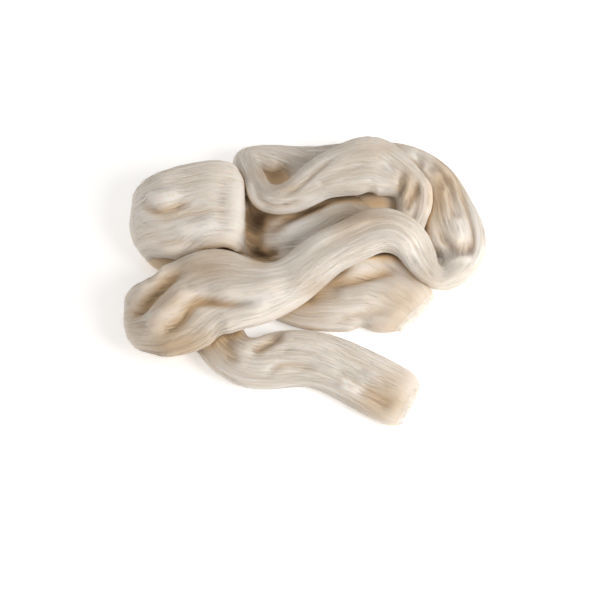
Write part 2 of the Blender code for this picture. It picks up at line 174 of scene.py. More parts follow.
# Ridges (height above zero) and creases (below zero) of the side that the photograph shows, each along a path in the
# photograph's own view, 600 units wide and high from the top left. A crease may be steeper on one side: the reaches
# are to the left and to the right of the path's direction. A path of two places doesn't fade towards its ends.
# first row, last row, height, reach to the left, reach to the right, path (right, down)
STROKES = [
    # the upper left lobe
    ("shoulder", "under_1", -4.6, 3.6, 5.0, ((138, 203), (150, 208.5), (165, 208), (180, 203), (194, 200.5))),
    ("shoulder", "under_1", 3.0, 6.0, 5.0, ((142, 196), (162, 196), (184, 191))),
    ("shoulder", "under_1", 3.2, 7.0, 7.0, ((168, 229), (195, 227), (224, 219))),
    ("shoulder", "under_1", -2.4, 4.5, 5.0, ((146, 222), (172, 216), (200, 211), (226, 209))),
    ("shoulder", "under_1", -2.0, 4.0, 5.0, ((146, 238), (172, 242), (205, 238))),
    ("climb", "lobe_1", 3.6, 6.5, 5.0, ((241, 168), (238, 190), (237, 215), (239, 243))),
    ("climb", "lobe_1", -1.1, 8.0, 7.0, ((225, 172), (222, 200), (223, 232))),
    ("shoulder", "under_1", -1.2, 3.0, 3.0, ((158, 183), (185, 181), (215, 173))),
    # the lower left lobe and the strand over the middle
    ("left_under_2", "middle_2", -7.5, 4.0, 5.5, ((124, 323), (131, 315), (138.5, 308), (148, 297), (157.6, 288), (171, 276), (188, 268))),
    ("left_under_2", "middle_2", 1.8, 6.0, 5.0, ((128, 306), (138, 294), (153, 281))),
    ("left_under_2", "middle_2", 5.5, 8.0, 8.0, ((146, 333), (164, 313), (180, 297), (194, 286))),
    ("left_under_2", "middle_3", -7.5, 2.6, 6.5, ((146, 344), (168, 327), (183, 313), (193, 300.5), (205, 299), (223, 301), (243, 302), (264, 299))),
    ("left_under_2", "middle_4", 4.0, 15.0, 14.0, ((205, 292), (235, 291), (265, 288), (292, 275))),
    ("left_under_2", "middle_3", 2.5, 8.0, 9.0, ((215, 325), (245, 316), (275, 302))),
    ("left_under_2", "middle_2", -1.6, 6.0, 6.0, ((150, 352), (185, 340), (220, 328))),
    ("middle_3", "right_drop_3", -1.4, 4.0, 5.0, ((300, 262), (330, 243), (365, 228), (398, 225))),
    ("middle_3", "right_drop_3", 1.8, 7.0, 7.0, ((330, 262), (360, 248), (395, 246), (425, 262))),
    ("middle_3", "right_drop_3", 1.4, 5.0, 5.0, ((300, 250), (345, 228), (380, 215))),
    ("middle_6", "loop_1", -1.2, 3.0, 3.0, ((412, 238), (425, 258), (437, 280))),
    # the pass behind, with its dark hollows
    ("behind_1", "climb", -6.5, 8.0, 6.0, ((254, 214), (254, 250))),
    ("behind_1", "climb", -5.0, 6.0, 6.0, ((256, 262), (272, 254))),
    ("behind_0", "dip", 2.4, 6.0, 5.0, ((268, 242), (300, 224), (330, 210), (350, 204))),
    ("behind_0", "dip", -2.6, 4.0, 4.0, ((270, 228), (300, 213), (335, 200))),
    ("behind_0", "dip", -2.0, 3.0, 4.0, ((275, 252), (305, 236), (338, 219))),
    # the neck, the hollow over it and the fan
    ("back_4", "fan_1", -2.4, 3.5, 3.5, ((255, 178), (258, 196), (268, 207), (288, 206), (312, 196))),
    ("back_4", "fan_1", 1.6, 5.0, 5.0, ((249, 176), (253, 199), (266, 214), (290, 209))),
    ("back_2", "back_4", -2.0, 9.0, 9.0, ((268, 177), (284, 168))),
    ("neck_2", "fan_3", -2.2, 3.0, 3.5, ((266, 192), (280, 194), (300, 184), (322, 165), (345, 152))),
    ("fan_1", "fold_1", -1.2, 4.0, 4.0, ((300, 192), (325, 180), (350, 168), (378, 160))),
    ("fan_1", "fold_1", 1.0, 6.0, 6.0, ((345, 186), (365, 189), (384, 186))),
    ("fan_1", "fold_1", -1.0, 4.0, 4.0, ((335, 186), (350, 178), (370, 172), (388, 170))),
    # the fold at the right and the loop round it
    ("fan_4", "behind_0", 2.6, 5.0, 5.0, ((423, 174), (428, 188), (428, 204), (422, 222))),
    ("fan_4", "behind_0", -3.2, 3.0, 4.0, ((417, 178), (417, 190), (412, 201), (405, 213))),
    ("fan_4", "behind_0", 1.6, 3.5, 3.5, ((410, 176), (408, 190), (400, 207))),
    ("fan_4", "behind_0", -3.0, 2.8, 3.0, ((405, 170), (402, 184), (395, 200))),
    ("loop_1", "back_1", -3.4, 3.5, 4.5, ((456, 174), (464, 195), (470, 220), (473, 243), (470, 258))),
    ("loop_1", "back_1", -2.2, 2.6, 2.6, ((448, 186), (452, 205), (456, 222))),
    ("loop_1", "back_1", 1.6, 4.0, 4.0, ((443, 186), (446, 205), (447, 222))),
    ("loop_1", "back_1", 2.8, 7.5, 7.5, ((459, 224), (461, 240))),
    ("right_drop_3", "loop_4", -3.0, 4.5, 3.5, ((470, 243), (459, 248.5), (448, 243), (440, 235), (434, 226))),
    ("right_drop_3", "loop_4", -2.4, 7.0, 6.0, ((438, 252), (470, 250))),
    ("right_drop_3", "loop_4", 1.8, 4.0, 4.0, ((446, 262), (466, 258))),
    ("loop_4", "back_2", -2.4, 4.0, 4.0, ((414, 149), (421, 157), (431, 168), (438, 176))),
    ("loop_4", "back_2", 2.0, 7.0, 7.0, ((402, 154), (414, 156))),
    ("loop_4", "back_2", 2.0, 7.0, 7.0, ((428, 164), (442, 174))),
    ("loop_5", "back_2", -2.6, 4.0, 4.5, ((400, 165), (420, 165))),
    # the lower piece at the right
    ("under_4", "piece_end", 5.5, 6.5, 5.0, ((335, 269), (360, 264), (385, 260), (408, 259))),
    ("under_4", "piece_end", -5.5, 3.5, 6.5, ((312, 283), (330, 280), (352, 278), (378, 271), (408, 265))),
    ("under_4", "piece_end", -2.8, 9.0, 9.0, ((312, 296), (334, 292))),
    ("under_4", "piece_end", 2.4, 9.0, 9.0, ((350, 297), (380, 293), (408, 294))),
    ("under_4", "piece_end", -2.4, 4.5, 5.0, ((330, 322), (350, 317), (374, 311), (395, 309))),
    ("under_4", "piece_end", -1.4, 3.0, 3.0, ((380, 300), (400, 305), (415, 318))),
    # the tail
    ("tail_end", "tail_under_2", -2.6, 4.0, 3.5, ((268, 380), (273, 370), (283, 364.5), (300, 365.5), (322, 370))),
    ("tail_end", "tail_under_2", -3.0, 7.0, 7.0, ((226, 344), (232, 356))),
    ("tail_end", "tail_under_2", -4.0, 6.0, 6.0, ((258, 349), (277, 336))),
    ("tail_end", "tail_under_2", 1.6, 6.0, 6.0, ((285, 350), (315, 350), (345, 362))),
    ("tail_end", "tail_under_2", -1.8, 4.0, 4.0, ((320, 347), (345, 353), (368, 368), (385, 375))),
    ("tail_end", "tail_under_2", 1.8, 6.0, 6.0, ((345, 387), (354, 392))),
    ("tail_end", "tail_under_2", 1.4, 5.0, 5.0, ((371, 376), (379, 381))),
    ("tail_end", "tail_under_2", -2.6, 7.0, 8.0, ((368, 390), (384, 402))),
    ("tail_end", "tail_under_2", -1.8, 4.0, 4.0, ((335, 370), (350, 378), (362, 388))),
]

# Painted shade (below zero, browner) and painted highlight (above zero, paler) on the wool, in the same view: right,
# down, reach right, reach down, how much
PAINTED_SHADE_AND_HIGHLIGHT = [
    (206, 268, 36, 15, -0.85),
    (158, 300, 24, 26, -0.50),
    (178, 344, 46, 13, -0.60),
    (384, 402, 28, 17, -0.95),
    (428, 268, 12, 18, -0.40),
    (308, 314, 26, 10, -0.60),
    (226, 350, 9, 13, -0.45),
    (322, 292, 24, 9, -0.35),
    (472, 205, 8, 40, 0.55),
    (478, 250, 8, 14, 0.45),
    (418, 156, 26, 9, 0.55),
    (461, 233, 8, 11, 0.50),
    (300, 226, 40, 9, 0.55),
    (262, 298, 44, 12, 0.35),
    (350, 386, 13, 8, 0.40),
    (370, 375, 9, 6, 0.40),
    (198, 228, 25, 8, 0.55),
    (164, 198, 20, 6, 0.55),
    (238, 205, 6, 38, 0.35),
    (162, 312, 20, 8, 0.30),
    (261, 255, 10, 9, -0.8),
    (424, 200, 8, 26, 0.60),
    (405, 188, 9, 22, -0.55),
    (438, 206, 6, 30, -0.70),
    (453, 210, 7, 24, 0.25),
    (370, 203, 32, 6, -0.40),
    (365, 217, 32, 10, -0.75),
    (225, 248, 24, 8, -0.60),
    (402, 300, 26, 22, -0.75),
    (180, 322, 34, 34, -0.50),
    (132, 316, 9, 26, -0.30),
    (391, 378, 22, 12, -0.45),
    (448, 182, 16, 14, -0.75),
    (286, 188, 14, 6, -0.60),
    (382, 150, 36, 10, -0.50),
    (438, 160, 16, 10, -0.40),
    (324, 202, 18, 6, 0.60),
    (300, 236, 18, 8, 0.50),
    (342, 229, 20, 12, -0.60),
    (394, 330, 26, 14, -0.50),
    (175, 352, 26, 9, -0.35),
    (316, 287, 18, 12, -0.40),
    (407, 262, 22, 10, 0.60),
]

# Where the wool is hidden from the light, in the same view: right, down, reach right, reach down, amount
HOLLOWS = [
    (260, 255, 10, 9, 0.55),
    (258, 225, 11, 9, 0.35),
    (277, 228, 10, 6, 0.30),
    (300, 238, 16, 8, -0.40),
    (450, 255, 18, 9, -0.35),
    (332, 286, 14, 8, -0.30),
    (324, 202, 16, 6, -0.35),
    (410, 264, 22, 9, -0.45),
    (392, 201, 10, 8, -0.35),
    (274, 174, 15, 8, 0.50),
    (384, 203, 16, 5, 0.35),
    (438, 196, 20, 28, 0.26),
    (408, 188, 10, 18, 0.20),
    (462, 246, 12, 8, 0.20),
]

# Shallow gathers between locks: how many lie round the strand, their length, and their height
GATHERS = [
    (6, 42.0, 0.36),
    (13, 34.0, 0.13),
    (27, 26.0, 0.05),
    (50, 20.0, 0.02),
]
END_TAPER = 9.0      # the torn ends thin out over this length
UV_STRIPS = 12


def unit(vectors):
    return vectors / np.maximum(np.linalg.norm(vectors, axis=-1, keepdims=True), 1e-9)


def spline(knots, values, at):
    """Natural cubic spline, for the centre line."""
    count = len(knots)
    gaps = np.diff(knots)
    matrix = np.zeros((count, count))
    right = np.zeros((count, values.shape[1]))
    matrix[0, 0] = matrix[-1, -1] = 1.0
    for i in range(1, count - 1):
        matrix[i, i - 1:i + 2] = gaps[i - 1], 2 * (gaps[i - 1] + gaps[i]), gaps[i]
        right[i] = 6 * ((values[i + 1] - values[i]) / gaps[i] - (values[i] - values[i - 1]) / gaps[i - 1])
    bend = np.linalg.solve(matrix, right)
    k = np.clip(np.searchsorted(knots, at, side="right") - 1, 0, count - 2)
    before, after, gap = (knots[k + 1] - at)[:, None], (at - knots[k])[:, None], gaps[k][:, None]
    return (
        (bend[k] * before**3 + bend[k + 1] * after**3) / (6 * gap)
        + (values[k] / gap - bend[k] * gap / 6) * before
        + (values[k + 1] / gap - bend[k + 1] * gap / 6) * after
    )


def ease(knots, values, at):
    """Curve that never overshoots its rows, for widths, thicknesses and angles."""
    if len(knots) == 2:
        part = ((at - knots[0]) / (knots[1] - knots[0]))[:, None]
        return values[0] + (values[1] - values[0]) * part
    gaps = np.diff(knots)[:, None]
    slopes = np.diff(values, axis=0) / gaps
    tangents = np.zeros_like(values)
    tangents[0], tangents[-1] = slopes[0], slopes[-1]
    same = slopes[:-1] * slopes[1:] > 0
    first, second = 2 * gaps[1:] + gaps[:-1], gaps[1:] + 2 * gaps[:-1]
    safe_a, safe_b = np.where(same, slopes[:-1], 1.0), np.where(same, slopes[1:], 1.0)
    tangents[1:-1] = np.where(same, (first + second) / (first / safe_a + second / safe_b), 0.0)
    k = np.clip(np.searchsorted(knots, at, side="right") - 1, 0, len(knots) - 2)
    gap = gaps[k]
    t = ((at - knots[k])[:, None]) / gap
    return (
        (2 * t**3 - 3 * t**2 + 1) * values[k] + (t**3 - 2 * t**2 + t) * gap * tangents[k]
        + (3 * t**2 - 2 * t**3) * values[k + 1] + (t**3 - t**2) * gap * tangents[k + 1]
    )


def soft_step(t):
    t = np.clip(t, 0, 1)
    return t * t * (3 - 2 * t)


class Strand:
    """The centre line with its frames and sizes, a row for every step of its length."""

    def __init__(self, sections, step):
        table = np.array([row[1:] for row in sections], float)
        centres = table[:, :3]
        knots = np.concatenate([[0.0], np.cumsum(np.linalg.norm(np.diff(centres, axis=0), axis=1) ** 0.75)])
        fine = np.linspace(0, knots[-1], 6000)
        path = spline(knots, centres, fine)
        run = np.concatenate([[0.0], np.cumsum(np.linalg.norm(np.diff(path, axis=0), axis=1))])
        self.place = {row[0]: float(np.interp(knot, fine, run)) for row, knot in zip(sections, knots)}
        self.count = int(round(run[-1] / step)) + 1
        self.run = np.linspace(0, run[-1], self.count)
        at = np.interp(self.run, run, fine)
        self.centre = spline(knots, centres, at)
        sizes = ease(knots, table[:, 3:], at)
        self.half_width, self.half_thick = sizes[:, 0] / 2, sizes[:, 1] / 2
        self.along = unit(np.gradient(self.centre, self.run, axis=0))
        self.bend = np.gradient(self.along, self.run, axis=0)
        turn, lean = np.radians(sizes[:, 2]), np.radians(sizes[:, 3])[:, None]
        level = np.stack([np.cos(turn), np.sin(turn), np.zeros(self.count)], 1)
        level = unit(level - (level * self.along).sum(1, keepdims=True) * self.along)
        up = np.cross(self.along, level)
        self.across = level * np.cos(lean) + up * np.sin(lean)
        self.up = np.cross(self.along, self.across)

    def trough(self, u, path, below, above, fade_part):
        """How deep in a crease each point is, from 0 to 1."""
        starts = np.array([self.place[name] for name, _ in path])
        where = np.array([[place] for _, place in path], float)
        part = (self.run - starts[0]) / (starts[-1] - starts[0])
        fade = soft_step(np.clip(np.minimum(part, 1 - part) / fade_part, 0, 1))
        middle = ease(starts, where, np.clip(self.run, starts[0], starts[-1]))
        off = u - middle
        return fade[:, None] * np.exp(-((off / np.where(off < 0, below, above)) ** 2))

    def skin(self, angle, creases, thin=None):
        """The free surface, before the passes press on each other: rings of points."""
        u = np.sign(np.cos(angle)) * np.abs(np.cos(angle)) ** (2 / ROUNDNESS)
        v = np.sign(np.sin(angle)) * np.abs(np.sin(angle)) ** (2 / ROUNDNESS)
        thin = np.ones(self.count) if thin is None else thin
        side, rise = self.half_width[:, None] * u, (self.half_thick * thin)[:, None] * v
        for face, depth, below, above, path in creases:
            deep = depth * self.trough(u, path, below, above, 0.22)
            rise = rise - np.sign(v) * np.where(np.sign(v) == face, deep, 0) * np.minimum(1, 3 * np.abs(v))
        out = unit(side[..., None] * self.across[:, None] + rise[..., None] * self.up[:, None])
        reach = np.hypot(side, rise)
        inward = (out * self.bend[:, None]).sum(-1)
        limit = np.where(inward > 1e-4, TIGHTEST / np.maximum(inward, 1e-4), 1e3)
        part = (reach**-6 + limit**-6) ** (-1 / 6) / reach
        points = (
            self.centre[:, None]
            + (side * part)[..., None] * self.across[:, None]
            + (rise * part)[..., None] * self.up[:, None]
        )
        for end, slant in ((0, TAIL_SLANT), (-1, PIECE_SLANT)):
            near = np.clip(1 - np.abs(self.run - self.run[end]) / END_REACH, 0, 1) ** 2
            points += (near[:, None] * slant * side)[..., None] * self.along[:, None]
        return points

    def press(self, points):
        """Each pass gives way to the others: half of the depth to which it would lie in them, straight out of them."""
        move = np.zeros_like(points)
        size = np.maximum(self.half_width, self.half_thick)
        for i in range(self.count):
            far = np.abs(self.run - self.run[i]) > OWN
            close = np.linalg.norm(self.centre - self.centre[i], axis=1) < size + size[i] + PRESS_REACH
            others = np.nonzero(far & close)[0]
            if not len(others):
                continue
            offset = points[i][:, None] - self.centre[others][None]
            u = np.einsum("mkc,kc->mk", offset, self.across[others]) / self.half_width[others]
            v = np.einsum("mkc,kc->mk", offset, self.up[others]) / self.half_thick[others]
            w = np.einsum("mkc,kc->mk", offset, self.along[others]) / PRESS_REACH
            level = (np.abs(u) ** ROUNDNESS + np.abs(v) ** ROUNDNESS + np.abs(w) ** ROUNDNESS) ** (1 / ROUNDNESS)
            row, best = np.arange(len(u)), level.argmin(1)
            k, f = others[best], np.maximum(level[row, best], 1e-3)
            gu = np.sign(u[row, best]) * (np.abs(u[row, best]) / f) ** (ROUNDNESS - 1) / self.half_width[k]
            gv = np.sign(v[row, best]) * (np.abs(v[row, best]) / f) ** (ROUNDNESS - 1) / self.half_thick[k]
            way = gu[:, None] * self.across[k] + gv[:, None] * self.up[k]
            steep = np.maximum(np.linalg.norm(way, axis=1), 1e-6)
            depth = np.where(f < 1, np.minimum((1 - f) / steep, self.half_thick[k]), 0)
            move[i] = way / steep[:, None] * (depth / 2)[:, None]
        return move


def smooth(field, times):
    for _ in range(times):
        along = field.copy()
        along[1:-1] = (field[:-2] + 2 * field[1:-1] + field[2:]) / 4
        field = (np.roll(along, 1, 1) + 2 * along + np.roll(along, -1, 1)) / 4
    return field


def quads(first, last, around):
    """Faces between rings, turned so that they face out."""
    rings, steps = np.meshgrid(np.arange(first, last), np.arange(around), indexing="ij")
    nxt = (steps + 1) % around
    return np.stack(
        [rings * around + steps, rings * around + nxt, (rings + 1) * around + nxt, (rings + 1) * around + steps], -1
    ).reshape(-1, 4)


def ease_apart(points, run, rounds, gap):
    """Moves facing skins of different passes apart, a little each round, until gap of air lies between them."""
    count, around, _ = points.shape
    block = max(1, int(round(16.0 / (run[1] - run[0]))))
    for _ in range(rounds):
        move = np.zeros_like(points)
        corners = [tuple(point) for point in points.reshape(-1, 3)]
        for start in range(0, count, block):
            stop = min(start + block, count)
            low, high = run[start] - OWN, run[stop - 1] + OWN
            faces = [quads(0, max(0, int(np.searchsorted(run, low)) - 1), around)]
            faces.append(quads(min(count - 1, int(np.searchsorted(run, high)) + 1), count - 1, around))
            tree = BVHTree.FromPolygons(corners, np.concatenate(faces).tolist())
            for i in range(start, stop):
                for j in range(around):
                    spot, normal, _, away = tree.find_nearest(corners[i * around + j], 12.0)
                    if spot is None:
                        continue
                    height = (points[i, j] - np.array(spot)) @ np.array(normal)
                    if abs(height) < 0.7 * away:
                        continue
                    if height < gap:
                        move[i, j] = np.array(normal) * 0.55 * (gap - height)
        if not move.any():
            break
        points = points + smooth(move, 1)
        points[..., 2] = np.maximum(points[..., 2], 0)
    return points


def bowed(points):
    """The points with the lobes' ends made round."""
    table = np.array(BOW)
    y = np.clip(points[..., 1], table[0, 0], table[-1, 0])
    shift = ease(table[:, 0], table[:, 1:], y.ravel())[:, 0].reshape(y.shape)
    out = points.copy()
    out[..., 0] += shift * soft_step((BOW_NONE - points[..., 0]) / (BOW_NONE - BOW_FULL))
    return out


def round_ring(field, angle):
    """Values given at even angles round a ring, read at other angles (Catmull-Rom). field is rows, ring, channels."""
    count = field.shape[1]
    at = angle / (2 * np.pi) * count
    base = np.floor(at).astype(int)
    t = (at - base)[None, :, None]
    a, b, c, d = (field[:, (base + k) % count] for k in (-1, 0, 1, 2))
    return 0.5 * (2 * b + (c - a) * t + (2 * a - 5 * b + 4 * c - d) * t**2 + (3 * b - a - 3 * c + d) * t**3)


def even_angles(count, slim):
    """Angles whose points are evenly spaced round a section that is slim times as thick as it is wide."""
    fine = np.linspace(0, 2 * np.pi, 4001)
    x = np.sign(np.cos(fine)) * np.abs(np.cos(fine)) ** (2 / ROUNDNESS)
    y = slim * np.sign(np.sin(fine)) * np.abs(np.sin(fine)) ** (2 / ROUNDNESS)
    length = np.concatenate([[0], np.cumsum(np.hypot(np.diff(x), np.diff(y)))])
    return np.interp(np.arange(count) / count * length[-1], length, fine)


def streaks(rng, run, angle, number, length):
    """A random field that runs along the strand, number of ridges round it, each about length long."""
    rows = int(np.ceil(run[-1] / length)) + 5
    knots = np.arange(rows) * length - 2 * length
    values = rng.normal(size=(rows, number))
    k = np.clip(np.searchsorted(knots, run, side="right") - 1, 1, rows - 3)
    t = ((run - knots[k]) / length)[:, None]
    a, b, c, d = (values[k + o] for o in (-1, 0, 1, 2))
    along = 0.5 * (2 * b + (c - a) * t + (2 * a - 5 * b + 4 * c - d) * t**2 + (3 * b - a - 3 * c + d) * t**3)
    at = angle / (2 * np.pi) * number                    # angle: rows x around, so that the ridges may wander
    base = np.floor(at).astype(int)
    t = at - base
    row = np.arange(len(run))[:, None]
    a, b, c, d = (along[row, (base + o) % number] for o in (-1, 0, 1, 2))
    return 0.5 * (2 * b + (c - a) * t + (2 * a - 5 * b + 4 * c - d) * t**2 + (3 * b - a - 3 * c + d) * t**3)


def normals_of(points):
    ahead = np.gradient(points, axis=0)
    round_ = (np.roll(points, -1, 1) - np.roll(points, 1, 1)) / 2
    return unit(np.cross(round_, ahead))


LOOK_AT = np.array([-3.5, -14.5, 0.0])     # where the photograph's camera looks, in the frame of SECTIONS
ELEVATION, DISTANCE, LENS, SENSOR = math.radians(60.0), 750.0, 64.3, 36.0
BACKWARDS = np.array([0.0, -math.cos(ELEVATION), math.sin(ELEVATION)])
UPWARDS = np.array([0.0, math.sin(ELEVATION), math.cos(ELEVATION)])


def in_view(points):
    """Where points fall in the photograph's view, in parts of its 600 units."""
    offset = points - (LOOK_AT + BACKWARDS * DISTANCE)
    scale = LENS / SENSOR * 600 / -(offset @ BACKWARDS)
    return np.stack([300 + offset[..., 0] * scale, 300 - (offset @ UPWARDS) * scale], -1)


def stroke_heights(strand, skin, normal):
    """How far each point moves out of the skin for STROKES."""
    flat, total = in_view(skin), np.zeros(skin.shape[:2])
    towards = unit(LOOK_AT + BACKWARDS * DISTANCE - skin)
    facing = soft_step(((normal * towards).sum(-1) + 0.05) / 0.35)
    for first, last, height, left, right, path in STROKES:
        low, high = strand.place[first], strand.place[last]
        rows = np.nonzero((strand.run > low - 6) & (strand.run < high + 6))[0]
        rows = np.arange(rows[0], rows[-1] + 1)
        here = flat[rows]
        path = np.array(path, float)
        knots = np.concatenate([[0.0], np.cumsum(np.linalg.norm(np.diff(path, axis=0), axis=1))])
        at = np.linspace(0, knots[-1], 2 if len(path) == 2 else 28)
        line = spline(knots, path, at) if len(path) > 2 else path
        best, side, part = np.full(here.shape[:2], 1e9), np.zeros(here.shape[:2]), np.zeros(here.shape[:2])
        for k in range(len(line) - 1):
            along = line[k + 1] - line[k]
            off = here - line[k]
            t = np.clip((off @ along) / (along @ along), 0, 1)
            gap = np.linalg.norm(off - t[..., None] * along, axis=-1)
            nearer = gap < best
            best = np.where(nearer, gap, best)
            lean = (along[0] * off[..., 1] - along[1] * off[..., 0]) / np.linalg.norm(along)
            side = np.where(nearer, lean / np.maximum(gap, 1e-6), side)
            part = np.where(nearer, (k + t) / (len(line) - 1), part)
        reach = left + (right - left) * soft_step(0.5 + 0.5 * side)
        strength = np.exp(-((best / reach) ** 2))
        if len(path) > 2:
            strength = strength * soft_step(np.minimum(part, 1 - part) / 0.30 + 0.05)
        inside = soft_step((strand.run[rows] - low + 6) / 6) * soft_step((high + 6 - strand.run[rows]) / 6)
        total[rows] += height * strength * inside[:, None] * facing[rows]
    return total


def patches(flat, table):
    """The sum of soft patches of PAINTED_SHADE_AND_HIGHLIGHT or HOLLOWS at places in the view."""
    total = np.zeros(flat.shape[:-1])
    for right, down, wide, high, amount in table:
        total += amount * np.exp(-(((flat[..., 0] - right) / wide) ** 2) - ((flat[..., 1] - down) / high) ** 2)
    return np.clip(total, -1, 1)


def relaxed(skin, along, least):
    """Evens out the inner side of sharp turns, where the rows of the skin would bunch up into a crack."""
    for _ in range(50):
        ahead = ((skin[1:] - skin[:-1]) * along[:-1][:, None]).sum(-1)
        tight = np.zeros(skin.shape[:2])
        tight[:-1] = np.clip((least - ahead) / 0.6, 0, 1)
        for _ in range(2):
            wider = np.maximum(np.roll(tight, 1, 1), np.roll(tight, -1, 1))
            wider[1:] = np.maximum(wider[1:], tight[:-1])
            wider[:-1] = np.maximum(wider[:-1], tight[1:])
            tight = np.maximum(tight, 0.75 * wider)
        tight[:3] = tight[-3:] = 0
        beside = (np.roll(skin, 1, 1) + np.roll(skin, -1, 1)) / 2
        lengthwise = skin.copy()
        lengthwise[1:-1] = (skin[2:] + skin[:-2]) / 2
        skin = skin + 0.8 * tight[..., None] * (0.65 * lengthwise + 0.35 * beside - skin)
    return skin


def build_skin():
    """The strand, its fine surface in millimetres in the frame of SECTIONS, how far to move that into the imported
    frame, the places round the strand that the fibres follow, and how far the strokes moved each point."""
    coarse = Strand(SECTIONS, STEP)
    even = np.linspace(0, 2 * np.pi, AROUND, endpoint=False)
    free = coarse.skin(even, CREASES)
    points = free + smooth(coarse.press(free), 2)
    points[..., 2] = np.maximum(points[..., 2], 0)
    points = ease_apart(points, coarse.run, EASE_ROUNDS, GAP)
    shift = smooth(points - free, 2)
    points = bowed(points)
    low, high = points.reshape(-1, 3).min(0), points.reshape(-1, 3).max(0)

    fine = Strand(SECTIONS, FINE_STEP)
    angle = even_angles(FINE_AROUND, 0.42)
    from_end = np.minimum(fine.run, fine.run[-1] - fine.run)
    left = np.clip(1 - from_end / END_TAPER, 0, 1)
    thin = np.sqrt(np.maximum(1 - 0.50 * left**2, 0))
    skin = fine.skin(angle, FINE_CREASES, thin)
    spread = spline(coarse.run, shift.reshape(coarse.count, -1), fine.run).reshape(fine.count, AROUND, 3)
    skin = skin + round_ring(spread, angle)
    middle = skin.mean(1, keepdims=True)
    skin = middle + (1 - 0.13 * left[:, None, None] ** 2) * (skin - middle)
    skin = relaxed(bowed(skin), fine.along, 1.2)

    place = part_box("wool_strand")
    middle = (np.array(place[0]) + np.array(place[1])) / 2 / MM
    recentred = np.array([middle[0] - (low[0] + high[0]) / 2, middle[1] - (low[1] + high[1]) / 2, 0.0])
    normal = normals_of(skin)
    calm = unit(smooth(normal, 6))
    pressed = smooth(stroke_heights(fine, skin, normal)[..., None], 1)
    skin = skin + pressed * calm

    rng = np.random.default_rng(11)
    even_turn = np.arange(FINE_AROUND) / FINE_AROUND * 2 * np.pi
    wander = np.tile(even_turn, (fine.count, 1))
    wander = wander + 0.16 * streaks(rng, fine.run, wander, 5, 55.0)
    relief = np.zeros(wander.shape)
    for number, length, height in GATHERS:
        relief += height * streaks(rng, fine.run, wander, number, length)
    relief = np.clip(relief, -2.0, 1.1) - 0.25
    skin = relaxed(skin + relief[..., None] * normals_of(skin), fine.along, 0.95)
    skin[..., 2] = np.maximum(skin[..., 2], 0.02)
    return fine, skin, recentred, wander, pressed[..., 0]


def hiddenness(skin, normal, every, rays, reach):
    """How closed in the skin is by other wool, from 0 to 1, from rays sent out of every few points."""
    rows, steps = np.arange(0, skin.shape[0], every), np.arange(0, skin.shape[1], every)
    tree = BVHTree.FromPolygons(
        [tuple(point) for point in skin[::2, ::2].reshape(-1, 3)], quads(0, len(skin[::2]) - 1, skin.shape[1] // 2).tolist()
    )
    rng = np.random.default_rng(3)
    height = np.sqrt((np.arange(rays) + 0.5) / rays)
    spin = np.arange(rays) * 2.39996
    spread = np.stack([np.sqrt(1 - height**2) * np.cos(spin), np.sqrt(1 - height**2) * np.sin(spin), height], 1)
    found = np.zeros((len(rows), len(steps)))
    turns = rng.uniform(0, 2 * np.pi, found.shape)
    for a, i in enumerate(rows):
        for b, j in enumerate(steps):
            out = normal[i, j]
            side = unit(np.cross(out, (0.3, 0.2, 0.93)))
            other = np.cross(out, side)
            cos, sin = math.cos(turns[a, b]), math.sin(turns[a, b])
            x, y = spread[:, 0] * cos - spread[:, 1] * sin, spread[:, 0] * sin + spread[:, 1] * cos
            ways = x[:, None] * side + y[:, None] * other + spread[:, 2:] * out
            start = Vector(skin[i, j] + 0.9 * out)
            for way in ways:
                away = tree.ray_cast(start, Vector(way), reach)[3]
                if away is not None:
                    found[a, b] += 1 - 0.6 * away / reach
    found = smooth((found / rays)[..., None], 1)
    along = spline(rows.astype(float), found[..., 0], np.clip(np.arange(skin.shape[0]), 0, rows[-1]).astype(float))
    return np.clip(round_ring(along[..., None], np.arange(skin.shape[1]) / skin.shape[1] * 2 * np.pi)[..., 0], 0, 1)


def mesh_object(name, corners, four, three, material):
    """A mesh from arrays: corners in millimetres, faces of four and of three corners."""
    mesh = bpy.data.meshes.new(name)
    total = len(four) * 4 + len(three) * 3
    mesh.vertices.add(len(corners))
    mesh.vertices.foreach_set("co", (corners * MM).astype(np.float32).ravel())
    mesh.loops.add(total)
    mesh.loops.foreach_set("vertex_index", np.concatenate([four.ravel(), three.ravel()]).astype(np.int32))
    mesh.polygons.add(len(four) + len(three))
    starts = np.concatenate([np.arange(len(four)) * 4, len(four) * 4 + np.arange(len(three)) * 3])
    mesh.polygons.foreach_set("loop_start", starts.astype(np.int32))
    mesh.update(calc_edges=True)
    mesh.validate()
    mesh.shade_smooth()
    mesh.materials.append(material)
    made = bpy.data.objects.new(name, mesh)
    bpy.context.scene.collection.objects.link(made)
    return made


def add_uv(made, places):
    layer = made.data.uv_layers.new(name="OFBake")
    layer.data.foreach_set("uv", places.astype(np.float32).ravel())


def add_vector(made, name, values):
    made.data.attributes.new(name, "FLOAT_VECTOR", "POINT").data.foreach_set("vector", values.astype(np.float32).ravel())


def add_number(made, name, values):
    made.data.attributes.new(name, "FLOAT", "POINT").data.foreach_set("value", values.astype(np.float32).ravel())


# ---------------------------------------------------------------- the wool's finish

CREAM_LIGHT = (0.790, 0.745, 0.690, 1.0)
CREAM = (0.735, 0.680, 0.612, 1.0)
CREAM_WARM = (0.700, 0.630, 0.540, 1.0)
# Painted shade and painted highlight: a browner and a paler colour, which also carry the fibres' own random tone, and
# the warm brown and near black of wool hidden from the light
DARKER_TONE_AND_SHADE = (0.530, 0.410, 0.285, 1.0)
PALER_TONE_AND_HIGHLIGHT = (0.860, 0.830, 0.795, 1.0)
HALF_SHADE_COLOUR = (0.650, 0.475, 0.290, 1.0)
HOLLOW_SHADE_COLOUR = (0.190, 0.110, 0.055, 1.0)


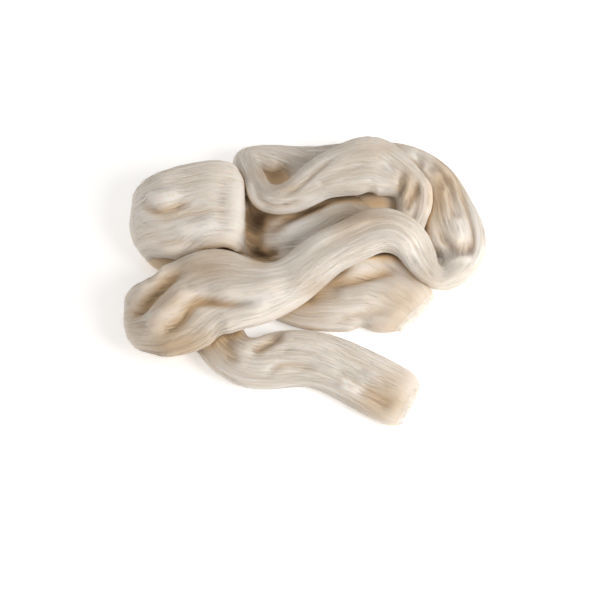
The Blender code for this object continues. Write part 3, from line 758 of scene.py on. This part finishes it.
def wool_material(name, relief, glow):
    """Cream wool: long tonal streaks along the fibres, finer ones in them, painted shade and painted highlight from the
    numbers on the mesh, a soft sheen and some light let through.
    """
    made = bpy.data.materials.new(name)
    made.use_nodes = True
    nodes, links = made.node_tree.nodes, made.node_tree.links
    shader = nodes["Principled BSDF"]
    shader.inputs["Metallic"].default_value = 0.0
    shader.inputs["IOR"].default_value = 1.45
    shader.inputs["Specular IOR Level"].default_value = 0.25
    shader.inputs["Sheen Weight"].default_value = 0.18
    shader.inputs["Sheen Roughness"].default_value = 0.45
    shader.inputs["Sheen Tint"].default_value = (1.0, 0.96, 0.90, 1.0)
    shader.inputs["Subsurface Weight"].default_value = glow
    shader.inputs["Subsurface Radius"].default_value = (1.0, 0.68, 0.42)
    shader.inputs["Subsurface Scale"].default_value = 0.005

    place = nodes.new("ShaderNodeAttribute")
    place.attribute_name = "fibre_co"

    def noise(scale, detail, rough, warp=0.0):
        stretch = nodes.new("ShaderNodeMapping")
        stretch.inputs["Scale"].default_value = scale
        links.new(place.outputs["Vector"], stretch.inputs["Vector"])
        grain = nodes.new("ShaderNodeTexNoise")
        grain.inputs["Scale"].default_value = 1.0
        grain.inputs["Detail"].default_value = detail
        grain.inputs["Roughness"].default_value = rough
        grain.inputs["Distortion"].default_value = warp
        links.new(stretch.outputs["Vector"], grain.inputs["Vector"])
        return grain.outputs["Fac"]

    # fibre_co is in millimetres: round the strand in x and y, along it in z
    broad = noise((0.16, 0.16, 0.012), 2.0, 0.5)
    locks = noise((0.62, 0.62, 0.022), 3.0, 0.55)
    fine = noise((2.4, 2.4, 0.045), 3.0, 0.6)

    def ramp(source, low, high):
        spread = nodes.new("ShaderNodeMapRange")
        spread.clamp = True
        spread.inputs["From Min"].default_value = low
        spread.inputs["From Max"].default_value = high
        links.new(source, spread.inputs["Value"])
        return spread.outputs["Result"]

    def blend_colour(kind, factor, first, second):
        mix = nodes.new("ShaderNodeMix")
        mix.data_type = "RGBA"
        mix.blend_type = kind
        a, b = [s for s in mix.inputs if s.type == "RGBA"]
        out = [s for s in mix.outputs if s.type == "RGBA"][0]
        for socket, value in ((mix.inputs[0], factor), (a, first), (b, second)):
            if isinstance(value, bpy.types.NodeSocket):
                links.new(value, socket)
            else:
                socket.default_value = value
        return out

    colour = blend_colour("MIX", ramp(broad, 0.36, 0.64), CREAM_WARM, CREAM)
    colour = blend_colour("MIX", ramp(locks, 0.35, 0.70), colour, CREAM_LIGHT)
    colour = blend_colour("MULTIPLY", ramp(fine, 0.62, 0.30), colour, (0.945, 0.928, 0.905, 1.0))

    def painted(name, low, high):
        """A painted number, as a share from low to high."""
        read = nodes.new("ShaderNodeAttribute")
        read.attribute_name = name
        return ramp(read.outputs["Fac"], low, high)

    # Painted shade and painted highlight: browner and paler where the patches say, then warm brown and near black where
    # the wool is hidden from the light
    colour = blend_colour("MIX", painted("painted_light_and_tone", 0.0, -1.0), colour, DARKER_TONE_AND_SHADE)
    colour = blend_colour("MIX", painted("painted_light_and_tone", 0.0, 1.0), colour, PALER_TONE_AND_HIGHLIGHT)
    colour = blend_colour("MIX", painted("deep", 0.0, 0.5), colour, HALF_SHADE_COLOUR)
    colour = blend_colour("MIX", painted("deep", 0.5, 1.0), colour, HOLLOW_SHADE_COLOUR)
    links.new(colour, shader.inputs["Base Color"])
    rough = nodes.new("ShaderNodeMapRange")
    rough.inputs["From Min"].default_value = 0.3
    rough.inputs["From Max"].default_value = 0.7
    rough.inputs["To Min"].default_value = 0.62
    rough.inputs["To Max"].default_value = 0.80
    links.new(locks, rough.inputs["Value"])
    links.new(rough.outputs["Result"], shader.inputs["Roughness"])

    if relief:
        total = nodes.new("ShaderNodeMath")
        total.operation = "MULTIPLY_ADD"
        total.inputs[1].default_value = 0.45
        links.new(fine, total.inputs[0])
        links.new(locks, total.inputs[2])
        bump = nodes.new("ShaderNodeBump")
        bump.inputs["Strength"].default_value = 0.35
        bump.inputs["Distance"].default_value = relief
        links.new(total.outputs[0], bump.inputs["Height"])
        links.new(bump.outputs["Normal"], shader.inputs["Normal"])
    return made


# ---------------------------------------------------------------- the strand's visible mesh

strand, skin, recentred, turn, pressed = build_skin()
count, around, _ = skin.shape
normal = normals_of(skin)
flat_view = in_view(skin)
# Painted shade and painted highlight, from the patches in the view
painted_light_and_tone = patches(flat_view, PAINTED_SHADE_AND_HIGHLIGHT)
skin = skin + recentred
FIBRE_ROUND = 17.5


def fibre_places(run, turned):
    return np.stack([FIBRE_ROUND * np.cos(turned), FIBRE_ROUND * np.sin(turned), run + 0 * turned], -1)


def closed_ends(skin, strand):
    """Corners and faces for the torn ends: rings that shrink to a hub, uneven as torn fibre is."""
    rng = np.random.default_rng(5)
    corners, three, four, base = [], [], [], skin.shape[0] * skin.shape[1]
    around = skin.shape[1]
    steps = np.arange(around)
    nxt = (steps + 1) % around
    for end, outward in ((0, -1), (skin.shape[0] - 1, 1)):
        ring, way = skin[end], strand.along[end] * outward
        middle = ring.mean(0)
        last = end * around + steps
        for part, dome in ((0.95, 0.9), (0.84, 1.8), (0.66, 2.6), (0.40, 3.1), (0.16, 3.3)):
            rough = smooth(rng.normal(size=(3, around, 1)), 2)[1, :, 0] * 0.25
            inner = middle + part * (ring - middle) + way * (dome + rough)[:, None]
            inner[:, 2] = np.maximum(inner[:, 2], 0.02)
            corners.append(inner)
            now = base + steps
            face = np.stack([last, last[nxt], now[nxt], now], 1)
            four.append(face if outward > 0 else face[:, ::-1])
            last, base = now, base + around
        corners.append((middle + way * 3.35)[None])
        hub = np.full(around, base)
        face = np.stack([last, last[nxt], hub], 1)
        three.append(face if outward > 0 else face[:, ::-1])
        base += 1
    return np.concatenate(corners), np.concatenate(four), np.concatenate(three)


wool = wool_material("wool_skin", 0.00022, 0.45)
cap_corners, cap_four, cap_three = closed_ends(skin, strand)
body_four = quads(0, count - 1, around)
surface = mesh_object(
    "wool_bundle",
    np.concatenate([skin.reshape(-1, 3), cap_corners]),
    np.concatenate([body_four, cap_four]),
    cap_three,
    wool,
)

places = fibre_places(strand.run[:, None], turn).reshape(-1, 3)
add_vector(surface, "fibre_co", np.concatenate([places, cap_corners]))
hidden = hiddenness(skin, normal, *(((3, 24, 30.0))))
# Painted shade: the wool is painted warm brown and then near black where other wool closes it in, where the hollows
# table says, and in the creases that the strokes press in
deep = soft_step((hidden - 0.34) / 0.44) + patches(flat_view, HOLLOWS) + 0.10 * np.clip(-pressed - 0.6, 0, 5)
deep = np.clip(deep, 0, 1)
add_number(surface, "deep", np.concatenate([deep.ravel(), np.full(len(cap_corners), 0.0)]))
# The painted shade and painted highlight of the patches, and the caps at the torn ends painted a little paler
add_number(surface, "painted_light_and_tone", np.concatenate([painted_light_and_tone.ravel(), np.full(len(cap_corners), 0.1)]))

rings, steps = np.meshgrid(np.arange(count - 1), np.arange(around), indexing="ij")
rings, steps = rings.ravel(), steps.ravel()
per_strip = math.ceil((count - 1) / UV_STRIPS)
strip, within = rings // per_strip, rings % per_strip
across_uv = np.stack([steps, steps + 1, steps + 1, steps], 1) / around
along_uv = np.stack([within, within, within + 1, within + 1], 1) / per_strip
strip_uv = np.stack([(strip[:, None] + 0.02 + 0.96 * across_uv) / UV_STRIPS, 0.01 + 0.90 * along_uv], -1)
flat = np.concatenate([skin.reshape(-1, 3), cap_corners])


def cap_uv(faces):
    """The two ends, laid flat side by side above the strips."""
    places = flat[faces]
    tail = np.linalg.norm(places.mean(1) - skin[0].mean(0), axis=1) < 40
    out = np.zeros(faces.shape + (2,))
    for here, end, shift in ((tail, 0, 0.02), (~tail, count - 1, 0.52)):
        ring = skin[end]
        middle = ring.mean(0)
        side, up = strand.across[end], strand.up[end]
        local = places[here] - middle
        out[here, :, 0] = shift + 0.22 + (local @ side) / 60 * 0.4
        out[here, :, 1] = 0.955 + (local @ up) / 60 * 0.16
    return out


add_uv(surface, np.concatenate([strip_uv.reshape(-1, 2), cap_uv(cap_four).reshape(-1, 2), cap_uv(cap_three).reshape(-1, 2)]))

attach(surface, "root")
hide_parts("wool_strand")

# ---------------------------------------------------------------- loose wool between the passes

# name, x, y, z, half sizes along turn, across it and up, turn (degrees), how much painted shade the tuft gets. In the
# frame of SECTIONS
TUFTS = [
    ("wool_under_fan", 55.0, 60.0, 8.5, 26.0, 13.0, 10.0, 12.0, 0.30),
    ("wool_under_neck", -22.0, 80.0, 8.0, 24.0, 16.0, 9.5, 5.0, 0.35),
    ("wool_in_loop", 102.0, 5.0, 7.5, 17.0, 12.0, 7.5, 60.0, 0.15),
    ("wool_under_lobe", -101.0, 14.0, 8.0, 16.0, 8.5, 8.5, -35.0, 0.32),
]
for number, (name, x, y, z, long, wide, high, spin, dark) in enumerate(TUFTS):
    rng = np.random.default_rng(40 + number)
    rows, ring = 40, 64
    lengthwise = -np.cos(np.linspace(0.12, np.pi - 0.12, rows))
    angle = np.arange(ring) / ring * 2 * np.pi
    swell = np.sqrt(1 - lengthwise**2)[:, None]
    rough = 1 + 0.05 * streaks(rng, lengthwise * long + long, np.tile(angle, (rows, 1)), 9, long * 0.6)
    local = np.stack(
        [
            np.repeat(lengthwise[:, None] * long, ring, 1),
            wide * swell * rough * np.cos(angle),
            high * swell * rough * np.sin(angle),
        ],
        -1,
    )
    ends = np.array([[-1.01 * long, 0, 0], [1.01 * long, 0, 0]])
    flat = np.concatenate([local.reshape(-1, 3), ends])
    cos, sin = math.cos(math.radians(spin)), math.sin(math.radians(spin))
    corners = np.stack([flat[:, 0] * cos - flat[:, 1] * sin, flat[:, 0] * sin + flat[:, 1] * cos, flat[:, 2]], 1)
    corners = corners + np.array([x, y, z]) + recentred
    corners[:, 2] = np.maximum(corners[:, 2], 0.02)
    steps = np.arange(ring)
    nxt = (steps + 1) % ring
    first = np.stack([steps, np.full(ring, rows * ring), nxt], 1)
    last = np.stack([(rows - 1) * ring + steps, (rows - 1) * ring + nxt, np.full(ring, rows * ring + 1)], 1)
    made = mesh_object(name, corners, quads(0, rows - 1, ring)[:, ::-1], np.concatenate([first, last])[:, ::-1], wool)
    i, j = np.meshgrid(np.arange(rows - 1), np.arange(ring), indexing="ij")
    u = np.stack([j, j + 1, j + 1, j], -1).reshape(-1, 4)[:, ::-1] / ring
    v = np.stack([i, i, i + 1, i + 1], -1).reshape(-1, 4)[:, ::-1] / (rows - 1)
    body = np.stack([u, 0.03 + 0.94 * v], -1).reshape(-1, 2)
    tips = np.concatenate([np.stack([steps / ring, (steps + 0.5) / ring, (steps + 1) / ring], 1)] * 2).reshape(-1)
    tips_v = np.concatenate([np.tile([0.02, 0.0, 0.02], ring), np.tile([0.98, 0.98, 1.0], ring)])
    add_uv(made, np.concatenate([body, np.stack([tips, tips_v], 1)]))
    add_vector(made, "fibre_co", np.stack([flat[:, 1], flat[:, 2], flat[:, 0]], 1))
    # Painted shade and painted highlight on the tuft, as on the strand
    seen_at = in_view(corners - recentred)
    add_number(made, "deep", np.clip(dark + patches(seen_at, HOLLOWS), 0, 1))
    add_number(made, "painted_light_and_tone", patches(seen_at, PAINTED_SHADE_AND_HIGHLIGHT))
    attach(made, "root")

# ---------------------------------------------------------------- single fibres and locks


def at_places(field, row, column):
    """Values of a field on the skin at places between its points. field is rows, ring and perhaps channels."""
    row = np.clip(row, 0, count - 1.001)
    i, j = np.floor(row).astype(int), np.floor(column).astype(int)
    a, b = row - i, column - j
    if field.ndim == 3:
        a, b = a[..., None], b[..., None]
    first, second = j % around, (j + 1) % around
    return (
        (field[i, first] * (1 - b) + field[i, second] * b) * (1 - a)
        + (field[i + 1, first] * (1 - b) + field[i + 1, second] * b) * a
    )


def tubes(paths, radii, reference, sides=3):
    """Closed tapering tubes along paths (fibres, points, 3): corners, faces of four and of three corners."""
    number, points, _ = paths.shape
    ahead = unit(np.gradient(paths, axis=1))
    side = unit(np.cross(ahead, reference))
    other = np.cross(side, ahead)
    spin = np.arange(sides) / sides * 2 * np.pi
    ring = np.cos(spin)[None, None, :, None] * side[:, :, None] + np.sin(spin)[None, None, :, None] * other[:, :, None]
    corners = (paths[:, :, None] + radii[:, :, None, None] * ring).reshape(-1, 3)
    base = (np.arange(number) * points * sides)[:, None, None]
    step = (np.arange(points - 1) * sides)[None, :, None]
    turn_ = np.arange(sides)[None, None]
    nxt = (turn_ + 1) % sides
    four = np.stack([base + step + turn_, base + step + sides + turn_, base + step + sides + nxt, base + step + nxt], -1)
    first = base[:, 0] + np.arange(3)[None]
    last = base[:, 0] + (points - 1) * sides + np.arange(3)[None, ::-1]
    return corners, four.reshape(-1, 4), np.concatenate([first, last])


def fibre_uv(number, points, sides):
    """Each fibre in a small cell of its own."""
    wide = math.ceil(math.sqrt(number))
    cell_x, cell_y = np.arange(number) % wide, np.arange(number) // wide
    u, v = np.meshgrid(np.arange(sides), np.arange(points - 1), indexing="xy")
    u, v = u.ravel() / sides, v.ravel() / (points - 1)
    du, dv = 1 / sides, 1 / (points - 1)
    corner_u = np.stack([u, u, u + du, u + du], 1)
    corner_v = np.stack([v, v + dv, v + dv, v], 1)
    four = np.stack(
        [
            (cell_x[:, None, None] + 0.1 + 0.8 * corner_u[None]) / wide,
            (cell_y[:, None, None] + 0.1 + 0.8 * corner_v[None]) / wide,
        ],
        -1,
    )
    three = []
    for low, high in ((0.02, 0.07), (0.92, 0.97)):
        three.append(
            np.stack(
                [
                    (cell_x[:, None] + np.array([0.2, 0.8, 0.5])) / wide,
                    (cell_y[:, None] + np.array([low, low, high])) / wide,
                ],
                -1,
            )
        )
    return np.concatenate([four.reshape(-1, 2), np.concatenate(three).reshape(-1, 2)])


def fibre_piece(name, paths, radii, reference, places, dark, light, material):
    """One piece of many fibres, each closed, with the numbers that its colour is worked out from: dark is painted
    shade, and light is painted shade and highlight with the fibres' own tone.
    """
    corners, four, three = tubes(paths, radii, reference)
    corners[:, 2] = np.maximum(corners[:, 2], 0.01)
    made = mesh_object(name, corners, four, three, material)
    add_uv(made, fibre_uv(len(paths), paths.shape[1], 3))
    add_vector(made, "fibre_co", np.repeat(places.reshape(-1, 3), 3, axis=0))
    add_number(made, "deep", np.repeat(dark.ravel(), 3))
    add_number(made, "painted_light_and_tone", np.repeat(light.ravel(), 3))
    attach(made, "root")
    return made


even_ring = np.arange(around) / around * 2 * np.pi
astray = turn - even_ring[None]


def lying(rng, number, points, low, high, stray):
    """Rows and columns of fibres that lie along the skin where it can be seen."""
    rows, columns = np.zeros((0, points)), np.zeros((0, points))
    while len(rows) < number:
        some = number * 2
        length = rng.uniform(low, high, some) / FINE_STEP
        row = rng.uniform(0, 1, some)[:, None] * (count - 1 - length[:, None]) + np.linspace(0, 1, points) * length[:, None]
        start = rng.uniform(0, around, some)[:, None]
        column = np.repeat(start, points, 1)
        first = at_places(astray, row[:, :1], start)
        for _ in range(2):
            column = start + (first - at_places(astray, row, column)) / (2 * np.pi) * around
        along = np.linspace(-0.5, 0.5, points)[None]
        column = column + rng.normal(0, stray, some)[:, None] * along * length[:, None] * 0.25
        column = column + rng.normal(0, 0.5, some)[:, None] * np.sin(along * rng.uniform(3, 9, some)[:, None])
        middle = points // 2
        seen = (at_places(hidden, row[:, middle], column[:, middle]) < rng.uniform(0.45, 0.85, some)) & (
            at_places(normal[..., 2], row[:, middle], column[:, middle]) > -0.25
        )
        rows, columns = np.concatenate([rows, row[seen]]), np.concatenate([columns, column[seen]])
    return rows[:number], columns[:number]


def places_of(row, column):
    return fibre_places(at_places(np.repeat(strand.run[:, None], around, 1), row, column), even_ring[1] * column + at_places(astray, row, column))


fibre_wool = wool_material("wool_fibre", 0.0, 0.0)
share = 1.0

# Locks and coarse fibres that lie on the skin and give it its combed look
for name, number, points, low, high, thick, lift, stray, seed in (
    ("wool_locks", 3300, 10, 28.0, 70.0, 0.13, 0.08, 0.14, 21),
    ("wool_fibres", 3300, 10, 18.0, 55.0, 0.08, 0.30, 0.26, 22),
):
    rng = np.random.default_rng(seed)
    number = int(number * share)
    row, column = lying(rng, number, points, low, high, stray)
    t = np.linspace(0, 1, points)[None]
    rise = -0.30 + (0.30 + lift * rng.uniform(0.2, 1.0, (number, 1))) * np.sin(np.pi * t) ** 0.6
    out = at_places(normal, row, column)
    paths = at_places(skin, row, column) + rise[..., None] * out
    radii = thick * rng.uniform(0.6, 1.3, (number, 1)) * (0.35 + 0.65 * np.sin(np.pi * t) ** 0.7)
    # The fibres take the painted shade and painted highlight of the skin under them, with a random tone of their own
    fibre_piece(
        name, paths, radii, out, places_of(row, column), at_places(deep, row, column),
        at_places(painted_light_and_tone, row, column) + rng.normal(0.03, 0.13, (number, 1)), fibre_wool,
    )

# Stray fibres that stand off the skin
rng = np.random.default_rng(23)
number, points = int(5200 * share), 6
row, column = lying(rng, number, 3, 2.0, 3.0, 0.0)
row, column = row[:, 1], column[:, 1]
out = at_places(normal, row, column)
ahead = unit(at_places(np.gradient(skin, axis=0), row, column)) * rng.choice([-1, 1], number)[:, None]
beside = np.cross(out, ahead)
swing = rng.normal(0, 0.45, number)[:, None]
length = rng.uniform(4.0, 13.0, number)[:, None, None]
t = np.linspace(0, 1, points)[None, :, None]
height = np.minimum(rng.gamma(2.0, 0.42, number), 2.6)[:, None, None] * np.sin(np.pi * t * rng.uniform(0.45, 0.95, number)[:, None, None])
bend = rng.normal(0, 0.16, number)[:, None, None] * length * t**2
way = np.cos(swing) * ahead + np.sin(swing) * beside
paths = (
    (at_places(skin, row, column) - 0.25 * out)[:, None] + way[:, None] * length * t + height * out[:, None]
    + bend * beside[:, None]
)
paths[..., 2] = np.minimum(paths[..., 2], paths[:, :1, 2] + 3.0)
radii = 0.052 * rng.uniform(0.7, 1.3, (number, 1)) * (1 - 0.6 * t[..., 0])
# Less painted shade than the skin under them, with its painted highlight, and painted paler
fibre_piece(
    "wool_stray_fibres", paths, radii, np.repeat((out + 0.01)[:, None], points, 1),
    np.repeat(places_of(row, column)[:, None], points, 1), np.repeat(0.6 * at_places(deep, row, column)[:, None], points, 1),
    np.repeat((at_places(painted_light_and_tone, row, column) + rng.normal(0.25, 0.2, number))[:, None], points, 1), fibre_wool,
)

# The torn ends: fibres of uneven length that come out of the cut
rng = np.random.default_rng(24)
groups = []
for end, outward in ((0, -1), (count - 1, 1)):
    number, points = int(700 * share), 5
    ring, way = skin[end], strand.along[end] * outward
    middle = ring.mean(0)
    spot = rng.uniform(0, around, number)
    part = np.sqrt(rng.uniform(0.0, 1.0, number))
    part = np.where(rng.uniform(0, 1, number) < 0.45, rng.uniform(0.80, 0.97, number), part)
    j = np.floor(spot).astype(int)
    rim = ring[j % around] * (1 - (spot - j))[:, None] + ring[(j + 1) % around] * (spot - j)[:, None]
    start = middle + part[:, None] * (rim - middle) - 0.6 * way
    spread_ = rng.normal(0, 0.10, (number, 3)) + 0.10 * (rim - middle) / 15
    reach = 2.4 + 2.2 * (1 - part**2) + rng.gamma(1.5, 0.75, number)
    t = np.linspace(0, 1, points)[None, :, None]
    paths = start[:, None] + (way + spread_)[:, None] * reach[:, None, None] * t
    paths = paths + rng.normal(0, 0.5, (number, 1, 3)) * t**2
    radii = 0.055 * rng.uniform(0.7, 1.4, (number, 1)) * (1 - 0.5 * t[..., 0])
    turned = spot / around * 2 * np.pi
    where = fibre_places(np.full(number, strand.run[end]), turned)
    groups.append((paths, radii, np.repeat((part[:, None] * unit(rim - middle) + 0.02)[:, None], points, 1), np.repeat(where[:, None], points, 1)))
paths, radii, reference, where = (np.concatenate([group[k] for group in groups]) for k in range(4))
# A little painted shade, and painted paler
fibre_piece(
    "wool_torn_ends", paths, radii, reference, where, np.full(radii.shape, 0.06),
    np.repeat(rng.normal(0.25, 0.12, (len(paths), 1)), radii.shape[1], 1), fibre_wool,
)

# ---------------------------------------------------------------- floor, light and camera

floor_mesh = bpy.data.meshes.new("floor")
floor_mesh.from_pydata([(-4, -4, 0), (4, -4, 0), (4, 4, 0), (-4, 4, 0)], [], [(0, 1, 2, 3)])
floor = bpy.data.objects.new("floor", floor_mesh)
floor.location.z = -0.0002
bpy.context.scene.collection.objects.link(floor)
pale = bpy.data.materials.new("pale_floor")
pale.use_nodes = True
pale.node_tree.nodes["Principled BSDF"].inputs["Base Color"].default_value = (0.93, 0.93, 0.93, 1)
pale.node_tree.nodes["Principled BSDF"].inputs["Roughness"].default_value = 0.9
pale.node_tree.nodes["Principled BSDF"].inputs["Specular IOR Level"].default_value = 0.1
pale.node_tree.nodes["Principled BSDF"].inputs["Emission Color"].default_value = (1, 1, 1, 1)
pale.node_tree.nodes["Principled BSDF"].inputs["Emission Strength"].default_value = 0.30
floor_mesh.materials.append(pale)


def lamp(name, place, size, power, tint=(1, 1, 1)):
    light = bpy.data.lights.new(name, "AREA")
    light.shape = "DISK"
    light.size, light.energy, light.color = size, power, tint
    made = bpy.data.objects.new(name, light)
    made.location = place
    made.rotation_euler = Vector(place).to_track_quat("Z", "Y").to_euler()
    bpy.context.scene.collection.objects.link(made)


lamp("key", (0.47, -0.26, 0.42), 0.40, 3.20, (1.0, 0.985, 0.965))
world = bpy.data.worlds.new("studio")
world.use_nodes = True
world.node_tree.nodes["Background"].inputs["Color"].default_value = (1.0, 0.972, 0.945, 1)
world.node_tree.nodes["Background"].inputs["Strength"].default_value = 0.665
bpy.context.scene.world = world
bpy.context.scene.view_settings.view_transform = "Standard"

camera_data = bpy.data.cameras.new("camera")
camera_data.lens, camera_data.sensor_width = LENS, SENSOR
camera_data.clip_start, camera_data.clip_end = 0.01, 20.0
camera = bpy.data.objects.new("camera", camera_data)
camera.location = Vector((LOOK_AT + recentred + BACKWARDS * DISTANCE) * MM)
camera.rotation_euler = Vector(BACKWARDS).to_track_quat("Z", "Y").to_euler()
bpy.context.scene.collection.objects.link(camera)
bpy.context.scene.camera = camera
